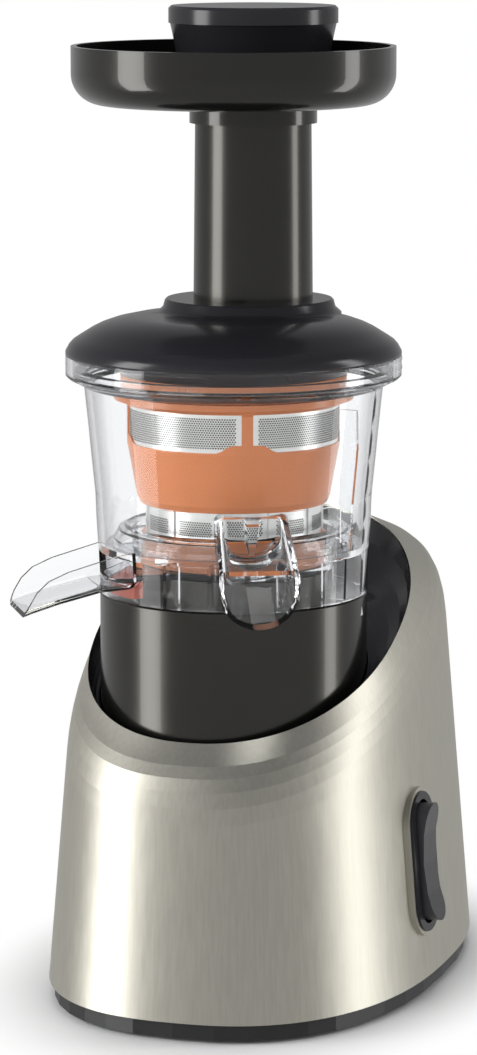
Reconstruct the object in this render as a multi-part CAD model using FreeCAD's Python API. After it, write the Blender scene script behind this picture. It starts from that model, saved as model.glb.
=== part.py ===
import FreeCAD, Part
import math
import os

# Cold press juicer, millimetres. Z is up and zero is the surface it stands on.
# The origin is on the axis that the bowl, the auger and the drive share. The front faces -Y.

V = FreeCAD.Vector
UP = V(0, 0, 1)

# Fits and general clearances
running_gap = 0.05        # radial, a shaft in its bearing
seat_gap = 0.3            # between pieces that lift apart

# Housing footprint, a superellipse that narrows towards the top
shell_half_width = 89.0
shell_half_depth = 136.0
shell_centre_y = 46.5
shell_power = 2.44
shell_taper = 0.082       # inward per mm of height, on every side
shell_wall = 2.5
shell_bottom = 9.0
crease_height = 137.9     # where wall meets the sloping top, at y = 0
crease_slope = 0.33
crease_round = 16.0       # how far the rounding of the crease reaches
crease_steps = 4          # strips that make the rounding

# Slanted opening that the drive drum rises through
opening_half_width = 70.0
opening_half_depth = 89.0
opening_centre_y = 25.0
opening_power = 2.22
opening_height = 155.2    # at y = 0
opening_slope = 0.435
opening_curve = 2.7e-4

# Cradle, the black liner between opening and drum
cradle_wall = 2.0
cradle_drop = 9.0         # how far its inner edge lies below the slanted opening
cradle_highest = 168.0    # its inner edge levels off here at the rear

# Drive drum and its neck
drum_radius = 59.9
drum_wall = 2.5
drum_top = 186.0
neck_radius = 44.0
neck_height = 10.5

# Bottom cover and feet
cover_inset = 3.0
cover_bottom = 1.5
cover_thickness = 4.5
cover_edge = 2.0
foot_radius = 11.0
foot_x = 50.0
foot_front_y = -48.0
foot_rear_y = 132.0
centre_pad_radius = 9.0    # moulded pad on the axis, level with the feet
post_radius = 6.0
post_x = 45.0
post_y = 45.6
pilot_radius = 1.6

# Motor, upright on the drive axis
plate_top = 112.0
plate_thickness = 4.0
plate_radius = 69.0
motor_radius = 38.0
stack_bottom = 40.0
stack_height = 38.0
rotor_radius = 20.0
air_gap = 0.6
shaft_radius = 4.0
pinion_bore = 2.8
bell_thickness = 3.0
bearing_radius = 11.0
bearing_width = 7.0
fan_radius = 30.0
fan_height = 9.0
fan_blades = 9
winding_height = 15.0

# Gear train, three spur stages inside the drum
case_radius = 54.0
case_wall = 2.5
case_bottom = plate_top
case_height = 62.0
gear_backlash = 0.16      # share of the pitch left free between teeth
stage_1 = (0.8, 12, 54, 7.0)     # module, driving teeth, driven teeth, face width
stage_2 = (0.9, 14, 42, 9.0)
stage_3 = (1.1, 16, 40, 12.0)
layer_gap = 1.5
axle_radius = 2.5
output_radius = 7.0
hex_across_flats = 9.0
hex_top = 218.0

# Juice bowl, clear
bowl_wall = 3.0
bowl_rim_radius = 74.8
bowl_rim_top = 292.3
bowl_rim_bottom = 282.2
bowl_shelf = 283.0
bowl_floor = 208.0
bowl_floor_thickness = 3.0
well_radius = 43.0
well_floor = 199.5
well_wall = 2.2
centre_tube_radius = 12.0
centre_tube_bore = 9.5
centre_tube_top = 209.0
hump_top = 216.5
skirt_rib_angles = (-13.0, 7.5, 42.0, 75.0, 120.0, 165.0, 215.0, 250.0)   # -Y towards +X
guide_rib_angle = -11.7   # from +X

# Juice spout, at the front right
spout_angle = 25.3        # from -Y towards +X
spout_reach = 89.0
spout_wall = 2.0
spout_root_width = 31.7
spout_root_top = 229.0
spout_root_height = 26.0
spout_mouth_width = 34.8
spout_mouth_top = 209.5
spout_mouth_height = 25.5
spout_flat = 1.0          # least flat across the spout's bottom
spout_corner = 3.0

# Pulp chute, an open trough at the left
chute_angle = -58.6       # from -Y towards -X
chute_near = 32.0
chute_far = -9.0
chute_wall = 2.0
chute_top = 216.0
chute_tip = 101.0
chute_corner = 6.0          # rounding between the chute's floor and walls
chute_floor = [(46.0, 193.0), (66.0, 191.6), (85.0, 187.0), (97.0, 183.4), (104.0, 180.9)]
chute_edge = [(101.0, 182.4), (100.4, 184.2), (98.6, 188.0), (95.4, 193.4), (90.2, 198.2),
              (81.5, 202.0), (61.0, 207.8), (46.0, 210.6)]

# Filter
filter_rim_radius = 50.5
filter_rim_top = 284.0
filter_flange_radius = 53.5
filter_flange_top = 276.0
filter_flange_bottom = 273.3
window_top = 271.6
window_bottom = 254.2
filter_wall = 2.0
basket_radius = 47.6
band_top_radius = 46.8
band_bottom_radius = 43.2
band_bottom = 229.5
lower_mesh_radius = 39.3
lower_mesh_top = 226.3
lower_mesh_bottom = 213.0
foot_ring_radius = 41.5
mesh_thickness = 0.6
window_count = 4
window_angle = 84.0
lower_rib_count = 11
lower_rib_depth = 0.8

# Auger
auger_core_bottom = 25.0
auger_core_top = 13.0
auger_bottom = 201.5
auger_top = 281.0
auger_flight_bottom = 36.3
auger_flight_top = 41.6
auger_turns = 2.25
auger_flight_thickness = 5.0
auger_boss_radius = 8.2
auger_pin_radius = 3.0
auger_shoulder = 295.7
auger_pin_top = 305.0

# Lid
lid_radius = 74.8
lid_bottom = 292.4
lid_wall = 2.5
lid_top = 310.0
lid_dome = [(73.3, 296.5), (71.8, 298.2), (69.1, 300.0), (66.2, 301.8), (63.3, 303.6),
            (59.6, 305.4), (54.5, 307.2), (46.2, 309.0)]
boss_centre_y = 22.7
boss_radius = 38.0
boss_flare = 3.5
boss_top = 314.8
lid_skirt_radius = 71.4
seal_height = 3.2
bush_radius = 4.6

# Feed tube, behind the bowl axis
tube_y = 28.5
tube_radius_bottom = 26.9
tube_radius_top = 26.0
tube_bore = 23.5
tube_top = 402.8

# Tray
tray_radius = 71.6
tray_top = 428.4
tray_bottom = 402.8
tray_wall = 2.6
tray_round = 13.5
collar_radius = 28.6
collar_bottom = 393.0

# Pusher
pusher_top = 445.0
head_radius = 37.9
head_band = 7.6
head_cone_radius = 35.9
head_skirt_radius = 31.0
head_wall = 2.5
head_cone_height = 431.5
head_plate = 3.0
stem_radius = 23.0
stem_bottom = 334.0
stem_wall = 2.0

# Switch on the right side of the housing
switch_y = 17.0
switch_z = 62.5
bezel_width = 29.0
bezel_height = 64.0
bezel_proud = 3.0
surround_width = 33.0
surround_height = 68.0
rocker_width = 16.5
rocker_height = 54.0
rocker_proud = 9.0
rocker_pivot = -1.5       # depth of the pin behind the wall
rocker_pin_radius = 1.5

# Cord inlet at the rear
inlet_z = 30.0
inlet_radius = 9.0
cord_radius = 3.6


def sgn_pow(value, power):
    return math.copysign(abs(value) ** power, value)


def turn(shape, degrees, centre=V(0, 0, 0)):
    out = shape.copy()
    out.rotate(centre, UP, degrees)
    return out


def rod(radius, low, high, x=0.0, y=0.0):
    return Part.makeCylinder(radius, high - low, V(x, y, low))


def ring(outer, inner, low, high, x=0.0, y=0.0):
    return rod(outer, low, high, x, y).cut(rod(inner, low - 1, high + 1, x, y))


def block(x0, x1, y0, y1, z0, z1):
    return Part.makeBox(x1 - x0, y1 - y0, z1 - z0, V(x0, y0, z0))


def revolve(outline, x=0.0, y=0.0):
    """A closed outline of (radius, height) points, turned about an upright axis."""
    points = [V(r, 0, z) for r, z in outline]
    face = Part.Face(Part.makePolygon(points + points[:1]))
    solid = face.revolve(V(0, 0, 0), UP, 360)
    solid.translate(V(x, y, 0))
    return solid


def prism(outline, low, high):
    """A closed outline of (x, y) points, raised from low to high."""
    points = [V(x, y, low) for x, y in outline]
    face = Part.Face(Part.makePolygon(points + points[:1]))
    return face.extrude(V(0, 0, high - low))


def fused(shapes):
    out = shapes[0]
    if len(shapes) > 1:
        out = out.multiFuse(shapes[1:])
    return out.removeSplitter()


def save(name, *shapes):
    shape = shapes[0] if len(shapes) == 1 else Part.makeCompound(list(shapes))
    shape.exportStep("parts/" + name + ".step")


# Housing

ROUND = 40                # stations round a superellipse


def stations():
    return [2 * math.pi * i / ROUND for i in range(ROUND)]


def unit_superellipse(angle, power):
    return sgn_pow(math.cos(angle), 2 / power), sgn_pow(math.sin(angle), 2 / power)


def wall_point(angle, z, inset):
    """A point of the leaning outer wall, or of one set in from it."""
    c, s = unit_superellipse(angle, shell_power)
    inward = shell_taper * z + inset
    return V((shell_half_width - inward) * c,
             shell_centre_y + (shell_half_depth - inward) * s, z)


def crease_z(angle, inset):
    """Height at which the wall at this angle meets the crease plane."""
    z = crease_height
    for _ in range(12):
        z = crease_height - inset + crease_slope * wall_point(angle, z, inset).y
    return z


def opening_point(angle, drop, inset):
    c, s = unit_superellipse(angle, opening_power)
    x = (opening_half_width - inset) * c
    y = opening_centre_y + (opening_half_depth - inset) * s
    return V(x, y, opening_height + opening_slope * y + opening_curve * y * y - drop)


def between(a, b, share):
    return a + (b - a) * share


def shell_rings(inset):
    """Rings of points: bottom edge, the rounding of the crease, and the opening."""
    columns = []
    for angle in stations():
        top = crease_z(angle, inset)
        crease = wall_point(angle, top, inset)
        lip = opening_point(angle, inset, 0.0)
        below = wall_point(angle, top - crease_round, inset)
        above = between(crease, lip, min(0.5, crease_round / (lip - crease).Length))
        column = [wall_point(angle, shell_bottom, inset)]
        for step in range(crease_steps + 1):
            share = step / crease_steps
            column.append(between(between(below, crease, share),
                                  between(crease, above, share), share))
        column.append(lip)
        columns.append(column)
    return [list(ring_points) for ring_points in zip(*columns)]


def ring_edge(points):
    curve = Part.BSplineCurve()
    curve.interpolate(points, PeriodicFlag=True)
    return curve.toShape()


def closed_skin(outer_rings, inner_rings):
    """A thin solid between two skins of ruled strips, closed by ruled rims."""
    edges = [ring_edge(points) for points in outer_rings + inner_rings[::-1]]
    pairs = zip(edges, edges[1:] + edges[:1])
    shell = Part.makeShell([Part.makeRuledSurface(a, b) for a, b in pairs])
    shell.sewShape(0.001)
    solid = Part.makeSolid(shell)
    if solid.Volume < 0:
        solid.reverse()
    return solid


def switch_frame():
    """Placement of the switch: x out of the wall, y along it, z up it."""
    lean = math.atan(shell_taper)
    here = (switch_y - shell_centre_y) / shell_half_depth
    yaw = math.atan(shell_half_width / shell_half_depth * sgn_pow(here, shell_power - 1))
    out = V(math.cos(lean) * math.cos(yaw), math.cos(lean) * math.sin(yaw), math.sin(lean))
    along = V(-math.sin(yaw), math.cos(yaw), 0)
    up = out.cross(along)
    share = (1 - abs(here) ** shell_power) ** (1 / shell_power)
    x = (shell_half_width - shell_taper * switch_z) * share
    matrix = FreeCAD.Matrix(out.x, along.x, up.x, x,
                            out.y, along.y, up.y, switch_y,
                            out.z, along.z, up.z, switch_z,
                            0, 0, 0, 1)
    return FreeCAD.Placement(matrix)


def stadium(width, height, x0, x1):
    """A rounded slot, upright in the switch frame, from x0 to x1."""
    r = width / 2
    half = height / 2 - r
    top = Part.makeCylinder(r, x1 - x0, V(x0, 0, half), V(1, 0, 0))
    low = Part.makeCylinder(r, x1 - x0, V(x0, 0, -half), V(1, 0, 0))
    mid = block(x0, x1, -r, r, -half, half)
    return fused([mid, top, low])


def on_switch(shape):
    out = shape.copy()
    out.Placement = switch_frame()
    return out


def housing_shell():
    body = closed_skin(shell_rings(0.0), shell_rings(shell_wall))
    raised = stadium(surround_width, surround_height, -shell_wall, bezel_proud - 1.0)
    body = body.fuse(on_switch(raised))
    hole = stadium(bezel_width + 0.4, bezel_height + 0.4, -20, 20)
    body = body.cut(on_switch(hole))
    rear = shell_centre_y + shell_half_depth
    inlet = Part.makeCylinder(inlet_radius, 40, V(0, rear - 25, inlet_z), V(0, 1, 0))
    return body.cut(inlet)


def cradle_rings(thickness):
    """Rings of the liner, from just inside the lip down and in to the drum."""
    inner_edge = drum_radius + 2 * seat_gap
    steps = 5
    columns = []
    for angle in stations():
        lip = opening_point(angle, 0.8, seat_gap)
        reach = math.hypot(lip.x, lip.y)
        way = V(lip.x / reach, lip.y / reach, 0)
        y = way.y * inner_edge
        plane = opening_height + opening_slope * y + opening_curve * y * y
        edge_z = min(plane - cradle_drop, cradle_highest)
        column = []
        for step in range(steps + 1):
            angle_down = math.pi / 2 * step / steps
            radius = reach - (reach - inner_edge) * (1 - math.cos(angle_down))
            z = lip.z - (lip.z - edge_z) * math.sin(angle_down)
            column.append(way * radius + V(0, 0, z - thickness))
        columns.append(column)
    return [list(ring_points) for ring_points in zip(*columns)]


def bowl_cradle():
    return closed_skin(cradle_rings(0.0), cradle_rings(cradle_wall))


def drive_drum():
    low = plate_top
    outline = [
        (drum_radius, low), (drum_radius, drum_top - 0.8), (drum_radius - 0.8, drum_top),
        (neck_radius, drum_top), (neck_radius, drum_top + neck_height),
        (output_radius + 5, drum_top + neck_height),
        (output_radius + 5, drum_top + neck_height - drum_wall),
        (neck_radius - drum_wall, drum_top + neck_height - drum_wall),
        (neck_radius - drum_wall, drum_top - drum_wall),
        (drum_radius - drum_wall, drum_top - drum_wall), (drum_radius - drum_wall, low),
    ]
    return revolve(outline)


def bottom_cover():
    """Dark plate that closes the housing, with posts that carry the motor plate."""
    def footprint(inset, low, high):
        outline = [wall_point(a, 0, inset) for a in stations()]
        return prism([(p.x, p.y) for p in outline], low, high)

    inner = shell_wall + shell_taper * shell_bottom + seat_gap
    cover = footprint(cover_inset, cover_bottom, shell_bottom)
    pocket = footprint(inner + cover_edge + 2, cover_bottom + cover_thickness, shell_bottom + 1)
    rim = footprint(inner + 0.6, shell_bottom, shell_bottom + 6)
    rim = rim.cut(footprint(inner + cover_edge + 0.6, shell_bottom - 1, shell_bottom + 7))
    cover = cover.cut(pocket).fuse(rim)
    posts = []
    for x, y in post_places():
        posts.append(rod(post_radius, cover_bottom + cover_thickness, plate_bottom(), x, y))
    cover = fused([cover] + posts)
    for x, y in post_places():
        cover = cover.cut(rod(pilot_radius, plate_bottom() - 14, plate_bottom() + 1, x, y))
    for x, y in foot_places():
        cover = cover.cut(rod(foot_radius + 0.2, 0, cover_bottom + 1.5, x, y))
    vents = []
    for i in range(7):
        x = (i - 3) * 9.0
        vents.append(block(x - 2, x + 2, -22, 22, 0, 20))
    cover = cover.cut(Part.makeCompound(vents))
    return cover.fuse(rod(centre_pad_radius, 0, cover_bottom + cover_thickness)).removeSplitter()


def plate_bottom():
    return plate_top - plate_thickness


def post_places():
    return [(sx * post_x, sy * post_y) for sx in (-1, 1) for sy in (-1, 1)]


def foot_places():
    return [(sx * foot_x, y) for sx in (-1, 1) for y in (foot_front_y, foot_rear_y)]


def rubber_feet():
    feet = []
    for x, y in foot_places():
        pad = rod(foot_radius, 0, cover_bottom + 1.5, x, y)
        feet.append(pad.makeFillet(1.0, [pad.Edges[2]]))
    return feet


# Motor

def motor_plate():
    plate = rod(plate_radius, plate_bottom(), plate_top)
    plate = plate.cut(rod(bearing_radius + 3, plate_bottom() - 1, plate_top + 1))
    for x, y in post_places():
        plate = plate.cut(rod(pilot_radius + 0.4, plate_bottom() - 1, plate_top + 1, x, y))
    return plate


def plate_screws():
    screws = []
    for x, y in post_places():
        shank = rod(pilot_radius, plate_top - 16, plate_top, x, y)
        head = rod(3.2, plate_top, plate_top + 2.4, x, y)
        slot = block(x - 2.4, x + 2.4, y - 0.5, y + 0.5, plate_top + 1.2, plate_top + 3)
        screws.append(fused([shank, head]).cut(slot))
    return screws


def stack_top():
    return stack_bottom + stack_height


def motor_stator():
    stack = ring(motor_radius, rotor_radius + air_gap, stack_bottom, stack_top())
    slots = []
    for i in range(12):
        slot = rod(3.4, stack_bottom - 1, stack_top() + 1, rotor_radius + 9.0, 0)
        slots.append(turn(slot, i * 30))
    return stack.cut(Part.makeCompound(slots))


def motor_windings():
    outer = rotor_radius + 13.0
    inner = rotor_radius + 4.0
    low = stack_bottom - winding_height
    return [ring(outer, inner, low, stack_bottom),
            ring(outer, inner, stack_top(), stack_top() + winding_height)]


def bell_outline(edge, disc, hub):
    """Half section of an end bell: edge on the stack, disc beyond it, hub towards it."""
    way = 1 if disc > edge else -1
    rim = motor_radius + 1.5
    inside = disc - way * bell_thickness
    step = edge - way * 4.0
    return [(motor_radius, step), (rim, step), (rim, disc), (shaft_radius + 1.5, disc),
            (shaft_radius + 1.5, disc - way * 1.5), (bearing_radius, disc - way * 1.5),
            (bearing_radius, hub), (bearing_radius + 2.5, hub), (bearing_radius + 2.5, inside),
            (rim - 3.0, inside), (rim - 3.0, edge), (motor_radius, edge)]


def bell(edge, disc):
    way = 1 if disc > edge else -1
    hub = disc - way * (1.5 + bearing_width)
    solid = revolve(bell_outline(edge, disc, hub))
    low = min(disc, disc - way * bell_thickness) - 1
    windows = [turn(block(18, 30, -6, 6, low, low + bell_thickness + 2), 60 * i)
               for i in range(6)]
    return solid.cut(Part.makeCompound(windows))


def lower_disc():
    return stack_bottom - winding_height - 4.0


def upper_disc():
    return plate_bottom()


def motor_rotor():
    return ring(rotor_radius, shaft_radius, stack_bottom, stack_top())


def motor_shaft():
    shaft = rod(shaft_radius, lower_disc() - fan_height - 3.0, stage_low(1))
    return fused([shaft, rod(pinion_bore, stage_low(1) - 1, stage_low(1) + stage_1[3])])


def bearing(inner, outer, low, width):
    third = (outer - inner) / 3
    return [ring(outer, inner + running_gap, low, low + width).cut(
        ring(outer - third, inner + third, low - 1, low + 1.2)).cut(
        ring(outer - third, inner + third, low + width - 1.2, low + width + 1))]


def motor_bearings():
    low = bearing(shaft_radius, bearing_radius, lower_disc() + 1.5, bearing_width)
    high = bearing(shaft_radius, bearing_radius, upper_disc() - 1.5 - bearing_width,
                   bearing_width)
    return low + high


def motor_fan():
    top = lower_disc() - 1.5
    low = top - fan_height
    hub = ring(shaft_radius + 4, shaft_radius, low, top)
    disc = ring(fan_radius, shaft_radius + 3, top - 1.6, top)
    blades = [turn(block(shaft_radius + 3, fan_radius - 1, -0.8, 0.8, low, top), 360 / fan_blades * i)
              for i in range(fan_blades)]
    return fused([hub, disc] + blades)


# Gear train

def stage_low(number):
    """Underside of a stage's gears, counted up from the floor of the case."""
    low = case_bottom + case_wall + layer_gap
    for stage in (stage_1, stage_2, stage_3)[:number - 1]:
        low += stage[3] + layer_gap
    return low


def centre_distance(stage):
    module, driving, driven, _ = stage
    return module * (driving + driven) / 2


def axle_places():
    """The two layshafts, at the corners of the triangle that the three stages span."""
    first = centre_distance(stage_1)
    between_them = centre_distance(stage_2)
    last = centre_distance(stage_3)
    spread = math.acos((first ** 2 + last ** 2 - between_them ** 2) / (2 * first * last))
    return (0.0, first), (-last * math.sin(spread), last * math.cos(spread))


def gear(teeth, module, low, width, bore, x, y, phase):
    """Spur gear whose tooth 0 points at the phase angle, measured from +X."""
    pitch = math.pi * module
    pitch_radius = module * teeth / 2
    full = pitch * (0.5 - gear_backlash / 2)
    corners = ((-1.15 * module, full * 0.72), (0.0, full * 0.5), (0.9 * module, full * 0.27))
    outline = []
    for tooth in range(teeth):
        centre = math.radians(phase) + 2 * math.pi * tooth / teeth
        side = [(pitch_radius + rise, half / (pitch_radius + rise)) for rise, half in corners]
        points = [(r, centre - half) for r, half in side]
        points += [(r, centre + half) for r, half in reversed(side)]
        outline += [(x + r * math.cos(a), y + r * math.sin(a)) for r, a in points]
    return prism(outline, low, low + width).cut(rod(bore, low - 1, low + width + 1, x, y))


def mesh_phase(phase, driving, driven, direction):
    """Phase of a driven gear whose gap takes the driving gear's tooth on the centre line."""
    into = (direction - phase) * driving / driven
    return direction + 180 + into + 180 / driven


def motor_pinion():
    module, driving, _, width = stage_1
    return gear(driving, module, stage_low(1), width, pinion_bore, 0, 0, 90)


def layshaft_gear(place, wheel, pinion, wheel_low, pinion_low, wheel_phase, pinion_phase):
    x, y = place
    bore = axle_radius + running_gap
    big = gear(wheel[2], wheel[0], wheel_low, wheel[3], bore, x, y, wheel_phase)
    small = gear(pinion[1], pinion[0], pinion_low, pinion[3], bore, x, y, pinion_phase)
    collar = ring(pinion[0] * pinion[1] / 2 - 1.2 * pinion[0], bore,
                  wheel_low, pinion_low + pinion[3], x, y)
    return fused([big, small, collar])


def heading(a, b):
    return math.degrees(math.atan2(b[1] - a[1], b[0] - a[0]))


def gear_parts():
    centre = (0.0, 0.0)
    first, second = axle_places()
    phase_1 = mesh_phase(90, stage_1[1], stage_1[2], heading(centre, first))
    way_2 = heading(first, second)
    phase_2 = mesh_phase(way_2, stage_2[1], stage_2[2], way_2)
    way_3 = heading(second, centre)
    phase_3 = mesh_phase(way_3, stage_3[1], stage_3[2], way_3)
    one = layshaft_gear(first, stage_1, stage_2, stage_low(1), stage_low(2), phase_1, way_2)
    two = layshaft_gear(second, stage_2, stage_3, stage_low(2), stage_low(3), phase_2, way_3)
    out = gear(stage_3[2], stage_3[0], stage_low(3), stage_3[3], output_radius, 0, 0, phase_3)
    return one, two, out


def gear_axles():
    first, second = axle_places()
    low = case_bottom + 0.6
    return [rod(axle_radius, low, stage_low(2) + stage_2[3] + 0.6, *first),
            rod(axle_radius, low, stage_low(3) + stage_3[3] + 3, *second)]


def case_top():
    return case_bottom + case_height


def gear_case():
    """Lower shell of the gearbox, a cup with sockets for the layshafts."""
    cup = rod(case_radius, case_bottom, case_top() - 3)
    cup = cup.cut(rod(case_radius - case_wall, case_bottom + case_wall, case_top()))
    cup = cup.cut(rod(bearing_radius + 3, case_bottom - 1, case_bottom + case_wall + 1))
    for x, y in axle_places():
        cup = cup.cut(rod(axle_radius, case_bottom + 0.6, case_top(), x, y))
    return cup


def gear_cover():
    """Lid of the gearbox; its hub holds the output bearings."""
    top = case_top()
    low = stage_low(3) + stage_3[3] + 1.0
    _, second = axle_places()
    plate = rod(case_radius, top - 3, top)
    hub = rod(bearing_radius + 3, low, top + 9)
    seat = rod(axle_radius + 3, low, top, *second)
    cover = fused([plate, hub, seat])
    cover = cover.cut(rod(bearing_radius, low - 1, top + 10))
    return cover.cut(rod(axle_radius, low - 1, low + 6, *second))


def output_bearings():
    low = stage_low(3) + stage_3[3] + 1.0
    high = case_top() + 9 - bearing_width
    return (bearing(output_radius, bearing_radius, low, bearing_width)
            + bearing(output_radius, bearing_radius, high, bearing_width))


def output_shaft():
    """Round through the bearings, hexagonal where it drives the auger."""
    round_top = drum_top + neck_height - 1
    shaft = rod(output_radius, stage_low(3) - 1.0, round_top)
    corner = hex_across_flats / math.sqrt(3)
    corners = [(corner * math.cos(math.radians(a)), corner * math.sin(math.radians(a)))
               for a in range(0, 360, 60)]
    hexagon = prism(corners, round_top - 1, hex_top)
    return fused([shaft, hexagon])


def neck_seal():
    low = drum_top + neck_height - drum_wall
    outline = [(output_radius + 5, low), (output_radius + 5, low + drum_wall),
               (output_radius + 0.1, low + drum_wall), (output_radius + 0.1, low + 1.5),
               (output_radius + 2.0, low + 1.5), (output_radius + 2.0, low)]
    return revolve(outline)


# Bowl

def bowl_outline():
    return [
        (60.0, drum_top + 0.2), (60.6, bowl_floor - bowl_floor_thickness), (61.4, 219.0),
        (61.8, 230.0), (63.4, 246.0), (64.9, 262.0), (66.6, 278.5), (69.5, 280.2),
        (73.6, bowl_rim_bottom), (bowl_rim_radius, bowl_rim_bottom + 1.2),
        (bowl_rim_radius, bowl_rim_top), (bowl_rim_radius - bowl_wall, bowl_rim_top),
        (bowl_rim_radius - bowl_wall, bowl_shelf), (64.2, bowl_shelf), (63.6, 278.5),
        (64.9 - bowl_wall, 262.0), (63.4 - bowl_wall, 246.0), (61.8 - bowl_wall, 230.0),
        (61.4 - bowl_wall, 219.0), (57.8, bowl_floor), (54.6, bowl_floor), (54.2, hump_top - 6.0),
        (51.4, hump_top - 1.4), (48.0, hump_top), (45.0, hump_top - 2.0),
        (well_radius + 0.4, hump_top - 7.0),
        (well_radius, well_floor), (centre_tube_radius, well_floor),
        (centre_tube_radius, centre_tube_top), (centre_tube_bore, centre_tube_top),
        (centre_tube_bore, well_floor - well_wall), (well_radius + well_wall, well_floor - well_wall),
        (well_radius + well_wall + 0.4, hump_top - 7.6),
        (46.6, hump_top - 4.0), (48.4, hump_top - 2.4), (50.2, hump_top - 3.2),
        (52.0, hump_top - 6.4), (52.4, bowl_floor - bowl_floor_thickness),
        (57.6, bowl_floor - bowl_floor_thickness), (60.0 - bowl_wall, drum_top + 0.2),
    ]


def along_chute(shape):
    """From a frame whose x runs along the chute and whose y crosses it, to the bowl."""
    return turn(shape, -90 + chute_angle)


def chute_prism(outline, near, far):
    """An outline of (distance, height) points, raised across the chute."""
    points = [V(t, near, z) for t, z in outline]
    face = Part.Face(Part.makePolygon(points + points[:1]))
    return along_chute(face.extrude(V(0, far - near, 0)))


def bowl_core():
    """The bowl's outside as one full solid, for cutting what meets it."""
    outline = [point for point in bowl_outline()[:11]]
    return revolve([(0, drum_top + 0.2)] + outline + [(0, bowl_rim_top)])


def juice_bowl():
    bowl = revolve(bowl_outline())
    low = drum_top + 0.8
    ribs = []
    for angle in skirt_rib_angles:
        rib = block(-0.8, 0.8, -58.2, -46.4, low, bowl_floor - bowl_floor_thickness + 0.5)
        ribs.append(turn(rib, angle))
    inner_rib = turn(block(53.6, 61.2, -0.9, 0.9, hump_top - 8, bowl_shelf - 12), guide_rib_angle)
    duct = chute_prism([(36, well_floor - well_wall), (47.5, well_floor - well_wall),
                        (58.5, chute_floor[1][1] - 1), (58.5, bowl_floor - 1), (36, bowl_floor - 1)],
                       chute_far, chute_near)
    duct = duct.common(ring(59.0, well_radius + 0.5, drum_top, bowl_floor))
    bowl = fused([bowl, duct, inner_rib] + ribs)
    passage = chute_prism([(30, well_floor), (48.5, well_floor), (64, chute_floor[1][1] + chute_wall),
                           (64, bowl_floor - bowl_floor_thickness),
                           (30, bowl_floor - bowl_floor_thickness)],
                          chute_far + chute_wall, chute_near - chute_wall)
    bowl = bowl.cut(passage.cut(rod(well_radius - 6, drum_top, hump_top)))
    return bowl.cut(spout_loft(spout_wall, 46.0))


def spout_section(reach, width, top, height, inset):
    """U-shaped section across the spout, square above and round below."""
    half = width / 2 - inset
    high = top - inset
    low = top - height + inset
    radius = min(half - spout_flat / 2, (high - low) * 0.72)
    corner = spout_corner
    k = radius * (1 - math.sqrt(0.5))
    c = corner * (1 - math.sqrt(0.5))
    left, right = -half, half

    def p(v, z):
        return V(v, -reach, z)

    edges = [
        Part.LineSegment(p(left + corner, high), p(right - corner, high)),
        Part.Arc(p(right - corner, high), p(right - c, high - c), p(right, high - corner)),
        Part.LineSegment(p(right, high - corner), p(right, low + radius)),
        Part.Arc(p(right, low + radius), p(right - k, low + k), p(right - radius, low)),
    ]
    edges += [
        Part.LineSegment(p(right - radius, low), p(left + radius, low)),
        Part.Arc(p(left + radius, low), p(left + k, low + k), p(left, low + radius)),
        Part.LineSegment(p(left, low + radius), p(left, high - corner)),
        Part.Arc(p(left, high - corner), p(left + c, high - c), p(left + corner, high)),
    ]
    return Part.Wire([edge.toShape() for edge in edges])


def spout_loft(inset, start):
    """The spout's body from start to its mouth; inset draws its inside."""
    root = 61.0
    slope = (spout_mouth_top - spout_root_top) / (spout_reach - root)
    width_slope = (spout_mouth_width - spout_root_width) / (spout_reach - root)
    end = spout_reach + (3.0 if inset else 0.0)
    level = spout_root_top if inset else spout_root_top + slope * (start - root)
    wires = []
    if inset:
        wires.append(spout_section(start, spout_root_width, level, spout_root_height - 5, inset))
        wires.append(spout_section(root, spout_root_width, level, spout_root_height - 5, inset))
    else:
        wires.append(spout_section(start, spout_root_width, level, spout_root_height, inset))
    wires.append(spout_section(end, spout_mouth_width + width_slope * (end - spout_reach),
                               spout_mouth_top + slope * (end - spout_reach),
                               spout_mouth_height, inset))
    return turn(Part.makeLoft(wires, True, True), spout_angle)


def juice_spout():
    spout = spout_loft(0.0, 54.0).cut(bowl_core())
    return spout.cut(spout_loft(spout_wall, 46.0))


def chute_trough(inset, start):
    """Solid that fills the chute from start, flat below with rounded corners."""
    low, high = chute_far + inset, chute_near - inset
    radius = chute_corner - inset
    cut = radius * (1 - math.sqrt(0.5))
    wires = []
    for distance, height in [(start, chute_floor[0][1])] + chute_floor[1:]:
        base = height + inset

        def p(y, z):
            return V(distance, y, z)

        edges = [
            Part.LineSegment(p(low + radius, base), p(high - radius, base)),
            Part.Arc(p(high - radius, base), p(high - cut, base + cut), p(high, base + radius)),
            Part.LineSegment(p(high, base + radius), p(high, chute_top)),
            Part.LineSegment(p(high, chute_top), p(low, chute_top)),
            Part.LineSegment(p(low, chute_top), p(low, base + radius)),
            Part.Arc(p(low, base + radius), p(low + cut, base + cut), p(low + radius, base)),
        ]
        wires.append(Part.Wire([edge.toShape() for edge in edges]))
    return along_chute(Part.makeLoft(wires, True, True))


def pulp_chute():
    """Open scoop whose walls sweep down to its lip."""
    below = [(distance, height - chute_corner) for distance, height in chute_floor[1:-1]]
    below.append((chute_tip, chute_floor[-1][1] - chute_corner))
    side = chute_floor[:1] + below + chute_edge
    body = chute_trough(0.0, chute_floor[0][0]).common(chute_prism(side, chute_far, chute_near))
    return body.cut(chute_trough(chute_wall, chute_floor[0][0] - 4)).cut(bowl_core())


def pulp_plug():
    """Soft flap under the pulp passage, in the gap between bowl and drum."""
    outline = [(46.5, 188.4), (56.0, 187.6), (56.0, 189.2), (47.5, 195.9), (46.5, 195.9)]
    flap = chute_prism(outline, chute_far + 6, chute_near - 6)
    return flap.common(rod(56.6, drum_top, bowl_floor))


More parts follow.
